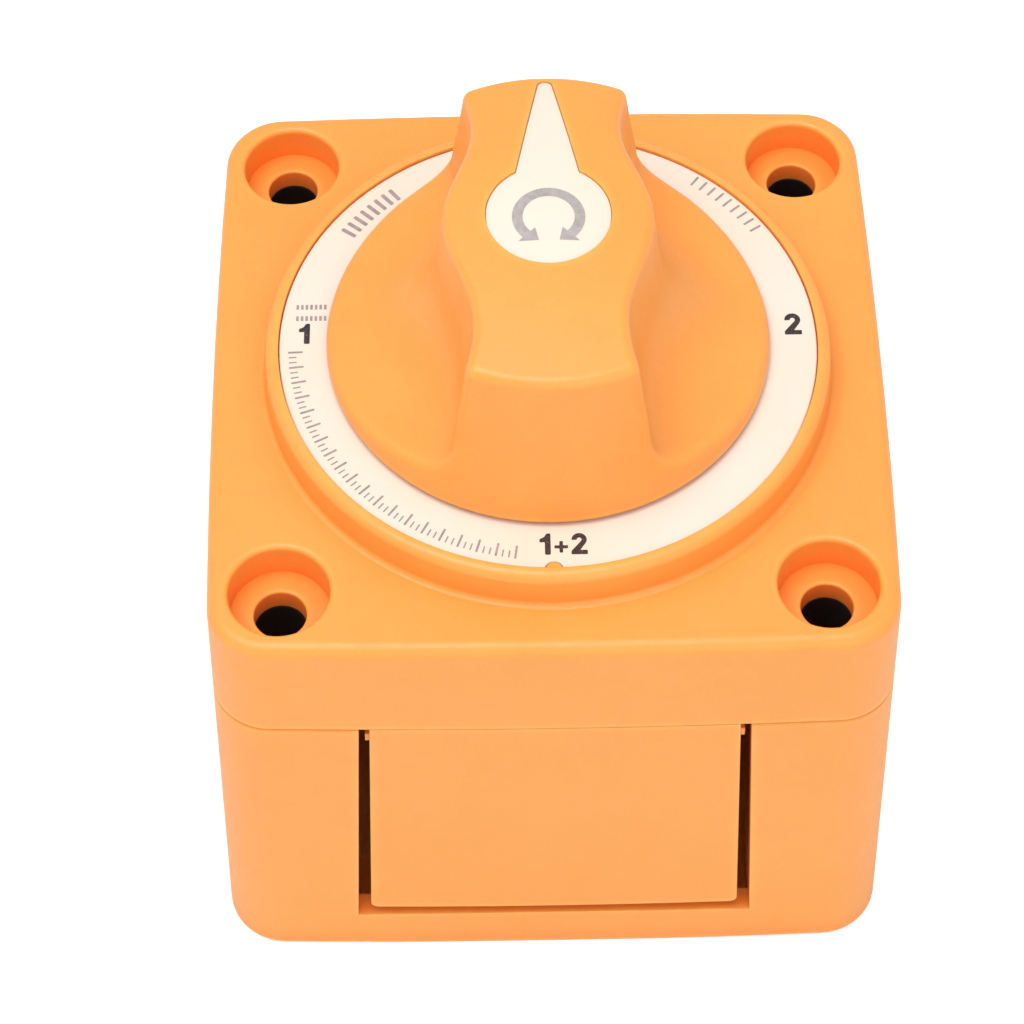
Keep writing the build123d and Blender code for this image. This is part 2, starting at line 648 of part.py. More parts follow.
def side_plate(turn):
    """Break-out plate that closes one side, with two small webs at its top corners."""
    low, high = PLATE_Z
    half_low, half_high = PLATE_HALF
    inset, corner_r = 0.05, 0.8
    skin = slab(outline(inset) - outline(inset + PLATE_THICK), low, high)
    plate = skin & side_prism(half_low, half_high, low, high, 20.0)
    bottom_corners = [e for e in plate.edges().filter_by(Axis.Y) if abs(e.center().Z - low) < 0.01]
    plate = fillet(bottom_corners, corner_r)
    width, height = WEB
    web_thick, web_inset, web_drop, root = 1.2, 1.4, 1.6, 0.1
    web_top = high - web_drop
    for side in (-1, 1):
        x = side * (half_high + width / 2 - root)
        plate += block(width + 2 * root, web_thick, web_top - height, web_top, x, web_inset - HALF_WIDTH)
    return Rot(0, 0, turn) * plate


def export(part, name):
    export_step(part, os.path.join("parts", name + ".step"))


def main():
    os.makedirs("parts", exist_ok=True)
    for make in (
        upper_case, label_ring, knob, pointer_insert, knob_screw, rotor, shaft_o_ring, detent_springs,
        moving_contact, contact_spring, common_bus_bar, contact_base, chamber_gasket, stud_o_rings,
        flat_washers, lock_washers, terminal_nuts, base_screws, back_cover,
    ):
        export(make(), make.__name__)
    head_bottoms = (PAD_BOTTOM_Z, PAD_BOTTOM_Z, BASE_FLOOR_Z)
    for name, (x, y), head_bottom in zip(STUD_ANGLES, at_studs(), head_bottoms):
        export(contact_stud(x, y, head_bottom), name)
    for side, turn in (("front", 0), ("right", 90), ("rear", 180), ("left", 270)):
        export(side_plate(turn), "side_plate_" + side)


main()
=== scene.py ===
import math

import bmesh
import bpy
from mathutils import Matrix, Vector
from mathutils.bvhtree import BVHTree
from mathutils.geometry import tessellate_polygon


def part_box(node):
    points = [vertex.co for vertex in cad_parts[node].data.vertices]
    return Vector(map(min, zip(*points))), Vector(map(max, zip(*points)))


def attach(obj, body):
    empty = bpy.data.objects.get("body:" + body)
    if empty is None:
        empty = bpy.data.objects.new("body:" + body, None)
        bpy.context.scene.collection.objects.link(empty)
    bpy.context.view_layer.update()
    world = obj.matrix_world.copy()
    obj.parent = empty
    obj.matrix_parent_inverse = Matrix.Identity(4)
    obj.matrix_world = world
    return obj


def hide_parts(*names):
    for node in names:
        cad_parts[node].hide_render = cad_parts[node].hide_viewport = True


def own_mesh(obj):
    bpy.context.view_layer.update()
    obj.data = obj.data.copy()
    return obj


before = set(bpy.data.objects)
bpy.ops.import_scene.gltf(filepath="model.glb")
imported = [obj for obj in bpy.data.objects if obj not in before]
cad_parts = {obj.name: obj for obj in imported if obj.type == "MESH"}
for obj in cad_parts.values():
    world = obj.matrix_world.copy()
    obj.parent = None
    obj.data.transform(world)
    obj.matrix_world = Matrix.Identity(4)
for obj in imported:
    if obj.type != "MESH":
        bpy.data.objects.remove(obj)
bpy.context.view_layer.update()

MM = 0.001

# Linear colours
ORANGE = (0.98, 0.372, 0.070)
# deeper, redder orange painted into recesses and gaps as shade
ORANGE_PAINTED_SHADE = (0.98, 0.225, 0.018)
# paler, yellower orange painted on convex edges as a highlight
ORANGE_EDGE_HIGHLIGHT = (1.00, 0.46, 0.090)
CREAM = (0.86, 0.755, 0.655)
CREAM_WARM = (0.86, 0.735, 0.61)
# paler cream painted on convex edges as a highlight
CREAM_EDGE_HIGHLIGHT = (0.96, 0.90, 0.80)
BLACK_MOULDING = (0.012, 0.012, 0.014)
BLACK_FIBRE = (0.05, 0.05, 0.052)
BLACK_CLOUD = (0.03, 0.029, 0.028)
# grey painted on convex edges of the black moulding as a highlight
BLACK_EDGE_HIGHLIGHT = (0.09, 0.09, 0.09)
TIN = (0.70, 0.69, 0.66)
TIN_DULL = (0.46, 0.45, 0.43)
COPPER = (0.78, 0.36, 0.21)
COPPER_DULL = (0.52, 0.20, 0.11)
COPPER_RUB = (0.80, 0.55, 0.40)
SILVER_FLASH = (0.74, 0.70, 0.64)
STEEL = (0.60, 0.60, 0.61)
STEEL_DULL = (0.38, 0.38, 0.39)
RUBBER = (0.018, 0.018, 0.019)
RUBBER_BLOOM = (0.06, 0.06, 0.062)
INK_BLACK = (0.026, 0.016, 0.015)
INK_GREY = (0.34, 0.29, 0.29)
EMBLEM_GREY = (0.42, 0.37, 0.36)
PAPER = (0.93, 0.93, 0.93)
PAPER_DULL = (0.90, 0.90, 0.90)

# View camera: place and aim in mm, lens in mm on a 36 mm sensor, roll in degrees, shift in frame widths
CAMERA_PLACE = (-6.77, -264.92, 395.34)
CAMERA_AIM = (-1.90, 110.58, 65.22)
CAMERA_LENS = 146.07
CAMERA_ROLL = -0.237
CAMERA_SHIFT = -0.9313
CAMERA_NEAR = 20.0         # mm from its place within which the lens is shifted

# How brightly the floor shines of itself: as a light, and as seen by the camera
FLOOR_GLOW = (0.0, 0.55)


# ---------------------------------------------------------------- node helpers

class Shader:
    """One procedural material, built node by node."""

    def __init__(self, name):
        self.material = bpy.data.materials.new(name)
        self.material.use_nodes = True
        self.tree = self.material.node_tree
        self.tree.nodes.clear()
        self.place = self.node("ShaderNodeTexCoord").outputs["Object"]

    def node(self, kind, inputs=None, **settings):
        made = self.tree.nodes.new(kind)
        for key, value in settings.items():
            setattr(made, key, value)
        for key, value in (inputs or {}).items():
            self.feed(made.inputs[key], value)
        return made

    def feed(self, socket, value):
        """Links an output into a socket, or sets the socket to a constant."""
        if isinstance(value, bpy.types.NodeSocket):
            self.tree.links.new(value, socket)
        elif socket.type == "RGBA":
            socket.default_value = (*value[:3], 1.0)
        else:
            socket.default_value = value

    def math(self, operation, first, second=0.0, third=0.0, clamp=False):
        made = self.node("ShaderNodeMath", {0: first, 1: second, 2: third}, operation=operation)
        made.use_clamp = clamp
        return made.outputs[0]

    def noise(self, size_mm, detail=2.0, roughness=0.5, stretch=(1, 1, 1), seed=0.0, distortion=0.0):
        """Noise whose features are about size_mm across, in millimetres of the object's own frame."""
        scale = 1.0 / (size_mm * MM)
        spot = self.node("ShaderNodeMapping", {
            "Vector": self.place, "Location": (seed, seed * 0.7, seed * 1.3), "Scale": stretch,
        })
        made = self.node("ShaderNodeTexNoise", {
            "Vector": spot.outputs[0], "Scale": scale, "Detail": detail,
            "Roughness": roughness, "Distortion": distortion,
        })
        return made.outputs["Fac"]

    def cells(self, size_mm, feature="F1", seed=0.0):
        spot = self.node("ShaderNodeMapping", {"Vector": self.place, "Location": (seed, seed, seed)})
        made = self.node("ShaderNodeTexVoronoi", {
            "Vector": spot.outputs[0], "Scale": 1.0 / (size_mm * MM),
        }, feature=feature)
        return made.outputs["Distance"]

    def fit(self, value, low, high, to_low=0.0, to_high=1.0):
        """Maps value from low..high to to_low..to_high, held at the ends."""
        made = self.node("ShaderNodeMapRange", {
            "Value": value, "From Min": low, "From Max": high, "To Min": to_low, "To Max": to_high,
        })
        return made.outputs["Result"]

    def mix(self, share, first, second, blend="MIX"):
        made = self.node("ShaderNodeMix", data_type="RGBA", blend_type=blend)
        self.feed(made.inputs["Factor"], share)
        self.feed(made.inputs[6], first)
        self.feed(made.inputs[7], second)
        return made.outputs[2]

    def shade(self, colour, factor):
        """Colour times a grey factor."""
        grey = self.node("ShaderNodeCombineColor", {0: factor, 1: factor, 2: factor})
        return self.mix(1.0, colour, grey.outputs[0], "MULTIPLY")

    def edge_mask(self, width_mm):
        """1 on convex edges, falling to 0 within width_mm."""
        inside = self.node("ShaderNodeAmbientOcclusion", {"Distance": width_mm * MM}, samples=6, inside=True,
                           only_local=True)
        return self.fit(inside.outputs["AO"], 0.55, 0.98, 1.0, 0.0)

    def painted_shade_mask(self, reach_mm):
        """1 deep in a recess or gap, 0 in the open: where painted shade goes."""
        outside = self.node("ShaderNodeAmbientOcclusion", {"Distance": reach_mm * MM}, samples=6)
        return self.fit(outside.outputs["AO"], 0.15, 0.85, 1.0, 0.0)

    def bump(self, layers, round_mm=0.0):
        """Bumps from (height output, depth in mm) pairs, over edges rounded by round_mm."""
        normal = None
        if round_mm:
            normal = self.node("ShaderNodeBevel", {"Radius": round_mm * MM}, samples=4).outputs[0]
        for height, depth_mm in layers:
            made = self.node("ShaderNodeBump", {"Height": height, "Strength": 1.0, "Distance": depth_mm * MM})
            if normal is not None:
                self.feed(made.inputs["Normal"], normal)
            normal = made.outputs[0]
        return normal

    def surface(self, **inputs):
        """Principled surface; underscores in the names stand for spaces."""
        named = {key.replace("_", " "): value for key, value in inputs.items() if value is not None}
        shader = self.node("ShaderNodeBsdfPrincipled", named)
        out = self.node("ShaderNodeOutputMaterial")
        self.tree.links.new(shader.outputs[0], out.inputs["Surface"])
        return self.material


# ---------------------------------------------------------------- materials

def moulded_orange(name, seed, gloss=0.0):
    """Orange moulded plastic: slightly translucent, paler on its edges as a painted highlight, deeper in its
    recesses as painted shade.
    """
    s = Shader(name)
    tone = s.noise(22, detail=3, seed=seed)
    mottle = s.noise(3.2, detail=4, roughness=0.6, seed=seed + 1)
    speck = s.noise(0.35, detail=2, seed=seed + 2)
    flow = s.noise(5.0, detail=3, stretch=(1, 1, 0.18), seed=seed + 3, distortion=0.6)
    colour = s.mix(s.fit(tone, 0.35, 0.65), ORANGE, tuple(c * k for c, k in zip(ORANGE, (1.0, 0.955, 0.90))))
    colour = s.shade(colour, s.fit(mottle, 0.3, 0.7, 0.985, 1.012))
    colour = s.shade(colour, s.fit(speck, 0.25, 0.75, 0.975, 1.02))
    colour = s.shade(colour, s.fit(flow, 0.3, 0.7, 0.99, 1.008))
    # painted shade: a deeper, redder orange mixed in deep in recesses and gaps
    colour = s.mix(s.math("MULTIPLY", s.painted_shade_mask(5.0), 0.75), colour, ORANGE_PAINTED_SHADE)
    edge = s.edge_mask(0.9)
    # painted highlight: paler, yellower orange on convex edges, standing in for light glowing through the
    # thin plastic there
    edge_highlight = s.math("MULTIPLY", edge, s.fit(mottle, 0.35, 0.6, 0.45, 1.0), clamp=True)
    colour = s.mix(s.math("MULTIPLY", edge_highlight, 0.7), colour, ORANGE_EDGE_HIGHLIGHT)
    dust = s.cells(1.9, seed=seed + 4)
    colour = s.shade(colour, s.fit(dust, 0.02, 0.035, 0.93, 1.0))
    rough = s.fit(s.noise(1.4, detail=4, roughness=0.65, seed=seed + 5), 0.3, 0.7, 0.36 - gloss, 0.47 - gloss)
    rough = s.math("SUBTRACT", rough, s.math("MULTIPLY", edge, 0.07))
    scratch = s.noise(0.9, detail=5, roughness=0.75, stretch=(1.0, 0.07, 1.0), seed=seed + 6, distortion=1.2)
    normal = s.bump([
        (s.noise(7.0, detail=2, seed=seed + 7), 0.035),
        (s.noise(0.42, detail=3, roughness=0.6, seed=seed + 8), 0.006),
        (s.fit(scratch, 0.62, 0.74), -0.0025),
    ], round_mm=0.18)
    return s.surface(
        Base_Color=colour, Roughness=rough, Normal=normal, IOR=1.5,
        Subsurface_Weight=0.22, Subsurface_Radius=(1.0, 0.42, 0.10), Subsurface_Scale=1.6 * MM,
    )


def label_cream():
    """Cream moulded plastic with a fine satin grain and faint handling marks."""
    s = Shader("label_cream")
    tone = s.noise(16, detail=3, seed=31)
    speck = s.noise(0.30, detail=3, seed=32)
    colour = s.mix(s.fit(tone, 0.35, 0.65), CREAM, CREAM_WARM)
    colour = s.shade(colour, s.fit(speck, 0.25, 0.75, 0.985, 1.01))
    # painted highlight: paler cream on convex edges
    colour = s.mix(s.math("MULTIPLY", s.edge_mask(0.25), 0.5), colour, CREAM_EDGE_HIGHLIGHT)
    smudge = s.noise(2.6, detail=5, roughness=0.7, seed=33)
    rough = s.fit(smudge, 0.3, 0.7, 0.33, 0.46)
    hair = s.noise(0.5, detail=5, roughness=0.7, stretch=(0.06, 1, 1), seed=34, distortion=0.8)
    normal = s.bump([
        (s.noise(0.22, detail=3, seed=35), 0.0025),
        (s.fit(hair, 0.64, 0.74), -0.0015),
    ], round_mm=0.06)
    return s.surface(
        Base_Color=colour, Roughness=rough, Normal=normal, IOR=1.49,
        Subsurface_Weight=0.15, Subsurface_Radius=(1.0, 0.75, 0.45), Subsurface_Scale=0.8 * MM,
    )


def glass_filled_black():
    """Black glass-filled moulding: short pale fibres just under a satin skin."""
    s = Shader("glass_filled_black")
    fibre = s.noise(0.5, detail=4, roughness=0.7, stretch=(1, 0.12, 1), seed=41, distortion=1.5)
    cloud = s.noise(6, detail=4, seed=42)
    colour = s.mix(s.fit(fibre, 0.60, 0.74), BLACK_MOULDING, BLACK_FIBRE)
    colour = s.mix(s.fit(cloud, 0.4, 0.7, 0.0, 0.35), colour, BLACK_CLOUD)
    # painted highlight: grey on convex edges
    colour = s.mix(s.math("MULTIPLY", s.edge_mask(0.4), 0.5), colour, BLACK_EDGE_HIGHLIGHT)
    rough = s.fit(s.noise(1.2, detail=4, seed=43), 0.3, 0.7, 0.42, 0.58)
    normal = s.bump([(fibre, 0.006), (s.noise(0.3, detail=3, seed=44), 0.006)], round_mm=0.12)
    return s.surface(Base_Color=colour, Roughness=rough, Normal=normal, IOR=1.52)


def worn_metal(name, bright, dull, seed, brush=(1, 1, 0.05), rough=(0.22, 0.42), edge_colour=None):
    """Metal with brushed lines, dull clouded patches and bright rubbed edges."""
    s = Shader(name)
    patch = s.noise(2.4, detail=5, roughness=0.65, seed=seed)
    line = s.noise(0.35, detail=4, roughness=0.7, stretch=brush, seed=seed + 1)
    pit = s.cells(0.8, seed=seed + 2)
    colour = s.mix(s.fit(patch, 0.42, 0.66), bright, dull)
    colour = s.shade(colour, s.fit(line, 0.25, 0.75, 0.90, 1.06))
    colour = s.shade(colour, s.fit(pit, 0.03, 0.08, 0.72, 1.0))
    edge = s.edge_mask(0.3)
    rubbed = edge_colour or tuple(min(1, 1.2 * c) for c in bright)
    colour = s.mix(s.math("MULTIPLY", edge, 0.6), colour, rubbed)
    roughness = s.math("ADD", s.fit(patch, 0.35, 0.7, *rough), s.fit(line, 0.3, 0.7, -0.05, 0.06))
    normal = s.bump([(line, 0.003), (s.fit(pit, 0.02, 0.09), 0.004)], round_mm=0.08)
    return s.surface(Base_Color=colour, Metallic=1.0, Roughness=roughness, Normal=normal)


def nitrile_rubber():
    """Black rubber with a dull bloom."""
    s = Shader("nitrile_rubber")
    bloom = s.noise(1.5, detail=5, roughness=0.7, seed=71)
    colour = s.mix(s.fit(bloom, 0.45, 0.75), RUBBER, RUBBER_BLOOM)
    rough = s.fit(bloom, 0.3, 0.7, 0.62, 0.82)
    normal = s.bump([(s.noise(0.25, detail=3, seed=72), 0.006)])
    return s.surface(Base_Color=colour, Roughness=rough, Normal=normal, IOR=1.52)


def pad_print(name, ink, seed):
    """Printed ink, thinner at its pinholes and slightly glossy."""
    s = Shader(name)
    pin = s.noise(0.16, detail=3, roughness=0.7, seed=seed)
    colour = s.mix(s.fit(pin, 0.60, 0.76, 0.0, 0.55), ink, CREAM)
    colour = s.shade(colour, s.fit(s.noise(0.7, detail=3, seed=seed + 1), 0.3, 0.7, 0.85, 1.12))
    rough = s.fit(pin, 0.3, 0.7, 0.38, 0.55)
    normal = s.bump([(pin, 0.002)])
    return s.surface(Base_Color=colour, Roughness=rough, Normal=normal, IOR=1.5)


def pale_floor():
    """Near-white studio paper."""
    s = Shader("studio_paper")
    tooth = s.noise(1.5, detail=4, seed=91)
    colour = s.mix(s.fit(tooth, 0.3, 0.7), PAPER, PAPER_DULL)
    normal = s.bump([(tooth, 0.01)])
    seen = s.node("ShaderNodeLightPath").outputs["Is Camera Ray"]
    # the glow is left out where the object stands close over the floor, which paints the floor there darker
    # as shade, under the object and seen through its holes
    sky = s.node("ShaderNodeAmbientOcclusion", {"Distance": 50.0 * MM}, samples=4).outputs["AO"]
    seen = s.math("MULTIPLY", seen, s.fit(sky, 0.05, 0.30))
    return s.surface(
        Base_Color=colour, Roughness=0.8, Normal=normal, Specular_IOR_Level=0.1,
        Emission_Color=(1, 1, 1), Emission_Strength=s.fit(seen, 0.0, 1.0, FLOOR_GLOW[0], FLOOR_GLOW[1]),
    )


def paint(names, material):
    """Puts one material on every slot of these CAD nodes."""
    for name in names:
        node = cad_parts[name]
        if not node.material_slots:
            node.data.materials.append(material)
        for slot in node.material_slots:
            slot.material = material


# ---------------------------------------------------------------- mesh helpers

def add_piece(name, mesh, body, material, smooth=False):
    """Links a finished mesh as a piece that rides on a CAD body."""
    mesh.materials.append(material)
    if smooth:
        mesh.polygons.foreach_set("use_smooth", [True] * len(mesh.polygons))
    piece = bpy.data.objects.new(name, mesh)
    bpy.context.scene.collection.objects.link(piece)
    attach(piece, body)
    return piece


def mesh_from(bm, name):
    bmesh.ops.recalc_face_normals(bm, faces=bm.faces)
    mesh = bpy.data.meshes.new(name)
    bm.to_mesh(mesh)
    bm.free()
    return mesh


def add_plate(bm, outline, height, sunk=0.012 * MM, proud=0.022 * MM, cells=None):
    """Closed thin plate with this outline; height(x, y) gives the surface it is printed on.

    cells lists the corners of each face of its top, as places in the outline, where short faces matter.
    """
    low = [bm.verts.new((x, y, height(x, y) - sunk)) for x, y in outline]
    high = [bm.verts.new((x, y, height(x, y) + proud)) for x, y in outline]
    for corners in cells or tessellate_polygon([[Vector((x / MM, y / MM, 0.0)) for x, y in outline]]):
        bm.faces.new([high[i] for i in corners])
        bm.faces.new([low[i] for i in reversed(corners)])
    for i in range(len(outline)):
        j = (i + 1) % len(outline)
        bm.faces.new((low[i], low[j], high[j], high[i]))


def rounded(points, radius, steps=3):
    """Closed outline with each corner cut back by up to radius and rounded."""
    out = []
    count = len(points)
    for i in range(count):
        here = Vector(points[i])
        to_last = Vector(points[i - 1]) - here
        to_next = Vector(points[(i + 1) % count]) - here
        cut = min(radius, to_last.length * 0.45, to_next.length * 0.45)
        start, end = here + to_last.normalized() * cut, here + to_next.normalized() * cut
        for k in range(steps + 1):
            t = k / steps
            out.append(tuple((1 - t) ** 2 * start + 2 * t * (1 - t) * here + t ** 2 * end))
    return out


def arc(centre, radius, start_deg, end_deg, count):
    cx, cy = centre
    angles = [math.radians(start_deg + (end_deg - start_deg) * i / (count - 1)) for i in range(count)]
    return [(cx + radius * math.cos(a), cy + radius * math.sin(a)) for a in angles]


# ---------------------------------------------------------------- print on the label

# Glyph outlines one unit high
def glyph_one():
    points = [
        (0.27, 0.0), (0.50, 0.0), (0.50, 1.0), (0.34, 1.0), (0.25, 0.83), (0.06, 0.74),
        (0.06, 0.58), (0.27, 0.60),
    ]
    return [rounded(points, 0.05)], 0.54


def glyph_two():
    centre = (0.34, 0.695)
    points = [(0.67, 0.0), (0.67, 0.20), (0.37, 0.20)]
    points += arc(centre, 0.305, -36, 184, 16)
    points += arc(centre, 0.10, 184, -42, 10)
    points += [(0.02, 0.15), (0.02, 0.0)]
    return [rounded(points, 0.035, 2)], 0.69


def glyph_plus():
    a, b, middle = 0.07, 0.27, (0.27, 0.36)
    cross = [
        (a, b), (-a, b), (-a, a), (-b, a), (-b, -a), (-a, -a),
        (-a, -b), (a, -b), (a, -a), (b, -a), (b, a), (a, a),
    ]
    return [rounded([(middle[0] + x, middle[1] + y) for x, y in cross], 0.03)], 0.54


def glyph_zero():
    """Two halves of an upright oval ring."""
    halves = []
    for start in (90, 270):
        outer = [(0.33 + 0.31 * x, 0.5 + 0.5 * y) for x, y in arc((0, 0), 1, start, start + 180, 14)]
        inner = [(0.33 + 0.10 * x, 0.5 + 0.29 * y) for x, y in arc((0, 0), 1, start + 180, start, 14)]
        halves.append(outer + inner)
    return halves, 0.66


def print_glyphs(bm, glyphs, centre, size, height, gap=0.16):
    """A row of glyphs, upright towards +Y, centred on a point of the label."""
    width = sum(advance for _, advance in glyphs) + gap * (len(glyphs) - 1)
    x = -width / 2
    for outlines, advance in glyphs:
        for outline in outlines:
            places = [(centre[0] + (x + u) * size, centre[1] + (v - 0.5) * size) for u, v in outline]
            add_plate(bm, places, height)
        x += advance + gap


def print_ticks(bm, angles, radius, length, width, height, slant=0.0):
    """Radial dashes centred on a circle, one at each angle, in degrees."""
    for angle in angles:
        turn = math.radians(angle)
        outward = Vector((math.cos(turn), math.sin(turn)))
        lean = turn + math.radians(slant)
        along = Vector((math.cos(lean), math.sin(lean)))
        across = Vector((-along.y, along.x))
        middle = outward * radius
        corners = [
            tuple(middle + along * (length / 2) * u + across * (width / 2) * v)
            for u, v in ((-1, -1), (1, -1), (1, 1), (-1, 1))
        ]
        add_plate(bm, rounded(corners, width * 0.3, 2), height)


def spread(start, end, count):
    return [start + (end - start) * i / (count - 1) for i in range(count)]


def print_label(black, grey):
    """Position numbers and graduations on the label ring."""
    low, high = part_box("label_ring")
    outer = high.x
    face = high.z

    def level(x, y):
        return face

    size = 2.55 * MM
    number_r = outer - 2.3 * MM
    front_r = outer - 2.79 * MM
    bm = bmesh.new()
    print_glyphs(bm, [glyph_one()], (0.2 * MM - number_r, 1.45 * MM), size, level)
    print_glyphs(bm, [glyph_two()], (number_r, 1.82 * MM), 1.05 * size, level)
    both = [glyph_one(), glyph_plus(), glyph_two()]
    print_glyphs(bm, both, (0.92 * MM, -front_r), 0.96 * size, level, gap=0.11)
    print_glyphs(bm, [glyph_zero()], (0.0, number_r), size, level)
    add_piece("label_numbers", mesh_from(bm, "label_numbers"), "switch_body", black)

    bm = bmesh.new()
    print_ticks(bm, spread(128.8, 144.6, 8), outer - 2.25 * MM, 1.75 * MM, 0.42 * MM, level)
    print_ticks(bm, spread(33.2, 52.6, 9), outer - 1.10 * MM, 1.35 * MM, 0.24 * MM, level)
    major = spread(182.0, 261.8, 20)
    print_ticks(bm, major, outer - 1.65 * MM, 1.5 * MM, 0.22 * MM, level)
    step = major[1] - major[0]
    for share in (step / 3, 2 * step / 3):
        minor = [angle + share for angle in major[:-1]]
        print_ticks(bm, minor, outer - 1.35 * MM, 0.8 * MM, 0.15 * MM, level)
    bar_rows, bar_columns = 2, 7
    bar_width, bar_half_height, bar_corner = 0.26 * MM, 0.3 * MM, 0.05 * MM
    for row in range(bar_rows):
        y = (4.85 - 1.45 * row) * MM
        low_y, high_y = y - bar_half_height, y + bar_half_height
        for column in range(bar_columns):
            x = -outer + (1.65 + 0.47 * column) * MM
            right_x = x + bar_width
            corners = [(x, low_y), (right_x, low_y), (right_x, high_y), (x, high_y)]
            add_plate(bm, rounded(corners, bar_corner, 2), level)
    add_piece("label_graduations", mesh_from(bm, "label_graduations"), "switch_body", grey)


def print_emblem(grey):
    """A plain turning arrow on the pointer insert: an open ring with a head at each end."""
    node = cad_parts["pointer_insert"]
    tree = BVHTree.FromPolygons([v.co for v in node.data.vertices], [p.vertices for p in node.data.polygons])
    low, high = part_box("pointer_insert")
    disc_r = -low.x

    def dome(x, y):
        hit = tree.ray_cast(Vector((x, y, high.z + 5 * MM)), Vector((0, 0, -1)))
        return hit[0].z if hit[0] else high.z

    ring_r, stroke, head = disc_r * 0.50, disc_r * 0.17, disc_r * 0.19
    start, end, head_sweep = -45.0, 225.0, 26.0
    centre = (0.0, -0.06 * disc_r)
    steps = 40

    def spot(radius, angle):
        return arc(centre, radius, angle, angle, 2)[0]

    outline = arc(centre, ring_r + stroke / 2, start, end, steps)
    outline += [spot(ring_r + head, end), spot(ring_r, end + head_sweep), spot(ring_r - head, end)]
    outline += arc(centre, ring_r - stroke / 2, end, start, steps)
    outline += [spot(ring_r - head, start), spot(ring_r, start - head_sweep), spot(ring_r + head, start)]
    # the outer arc's places come first, and the inner arc runs back beside it
    back = len(outline) - 4
    cells = [(i, i + 1, back - i - 1, back - i) for i in range(steps - 1)]
    cells.append((steps - 1, steps, steps + 1, steps + 2, steps + 3))
    cells.append((back, back + 1, back + 2, back + 3, 0))
    bm = bmesh.new()
    add_plate(bm, outline, dome, proud=0.02 * MM, cells=cells)
    add_piece("turning_arrow", mesh_from(bm, "turning_arrow"), "knob", grey)


# ---------------------------------------------------------------- studs and spring

THREAD_PITCH = 25.4 / 16 * MM
THREAD_DEPTH = 0.85 * MM
THREAD_FLAT = 0.12         # share of the half pitch that is flat at the crest
THREAD_FLANK = 0.74        # and that is sloping
THREAD_TURN_STEPS = 72
THREAD_ROWS = 10           # rings in one pitch


def thread_radius(crest, turn, z):
    """Radius of a 60 degree thread with flattened crests and roots."""
    phase = (z / THREAD_PITCH - turn / math.tau) % 1.0
    rise = abs(2 * phase - 1)
    return crest - THREAD_DEPTH * min(1.0, max(0.0, (rise - THREAD_FLAT) / THREAD_FLANK))


def build_stud(name, material):
    """Stud with a cut thread below its flat-sided head, in the place of the plain CAD stud."""
    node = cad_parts[name]
    low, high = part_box(name)
    cx, cy = (low.x + high.x) / 2, (low.y + high.y) / 2
    head_r, flat = high.x - cx, high.y - cy
    clearly_outside, clearly_below = 0.2 * MM, 1.0 * MM
    wide = [v.co for v in node.data.vertices if math.hypot(v.co.x - cx, v.co.y - cy) > flat + clearly_outside]
    head_low = min(co.z for co in wide)
    neck = [v.co for v in node.data.vertices if v.co.z < head_low - clearly_below]
    shank_r = max(math.hypot(co.x - cx, co.y - cy) for co in neck)
    thread_top = head_low - 4.2 * MM
    fade_length = 1.2 * THREAD_PITCH
    chamfer, edge, low_edge = 0.8 * MM, 0.3 * MM, 0.12 * MM

    corner = math.asin(flat / head_r)
    turns = [math.tau * i / THREAD_TURN_STEPS for i in range(THREAD_TURN_STEPS)]
    for target in (corner, math.pi - corner, math.pi + corner, math.tau - corner):
        nearest = min(range(THREAD_TURN_STEPS), key=lambda i: abs(turns[i] - target))
        turns[nearest] = target

    def head_plan(turn, inset):
        side = abs(math.sin(turn))
        return min(head_r, flat / side if side > 1e-6 else head_r) - inset

    rings = []
    rows = int((thread_top - low.z) / THREAD_PITCH * THREAD_ROWS)
    for row in range(rows + 1):
        z = low.z + (thread_top - low.z) * row / rows
        lead_in = shank_r - chamfer + (z - low.z)
        fade = min(1.0, max(0.0, (thread_top - z) / fade_length))
        radii = []
        for turn in turns:
            cut = shank_r - thread_radius(shank_r, turn, z)
            radii.append(min(shank_r - cut * fade, lead_in if z < low.z + chamfer else shank_r))
        rings.append((z, radii))
    rings += [
        (head_low, [shank_r] * THREAD_TURN_STEPS),
        (head_low, [head_plan(t, low_edge) for t in turns]),
        (head_low + low_edge, [head_plan(t, 0.0) for t in turns]),
        (high.z - edge, [head_plan(t, 0.0) for t in turns]),
        (high.z - 0.3 * edge, [head_plan(t, 0.3 * edge) for t in turns]),
        (high.z, [head_plan(t, edge) for t in turns]),
    ]
    bm = bmesh.new()
    loops = [
        [bm.verts.new((cx + r * math.cos(t), cy + r * math.sin(t), z)) for r, t in zip(radii, turns)]
        for z, radii in rings
    ]
    for below, above in zip(loops, loops[1:]):
        for i in range(THREAD_TURN_STEPS):
            j = (i + 1) % THREAD_TURN_STEPS
            bm.faces.new((below[i], below[j], above[j], above[i]))
    bm.faces.new(loops[0][::-1])
    bm.faces.new(loops[-1])
    new_name = name + "_threaded"
    piece = add_piece(new_name, mesh_from(bm, new_name), "switch_body", material)
    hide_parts(name)


def build_spring(material):
    """The coil as a piece riding on the knob, in the place of the CAD spring."""
    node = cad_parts["contact_spring"]
    mesh = node.data.copy()
    mesh.name = "contact_spring_coil"
    mesh.transform(node.matrix_world)
    mesh.materials.clear()
    coil = add_piece("contact_spring_coil", mesh, "knob", material)
    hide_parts("contact_spring")
    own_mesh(coil)


# ---------------------------------------------------------------- stage

def build_floor(material):
    half, level = 3.0, -0.0002
    bm = bmesh.new()
    corners = ((-half, -half), (half, -half), (half, half), (-half, half))
    bm.faces.new([bm.verts.new((x, y, level)) for x, y in corners])
    floor = bpy.data.objects.new("studio_floor", mesh_from(bm, "studio_floor"))
    floor.data.materials.append(material)
    bpy.context.scene.collection.objects.link(floor)


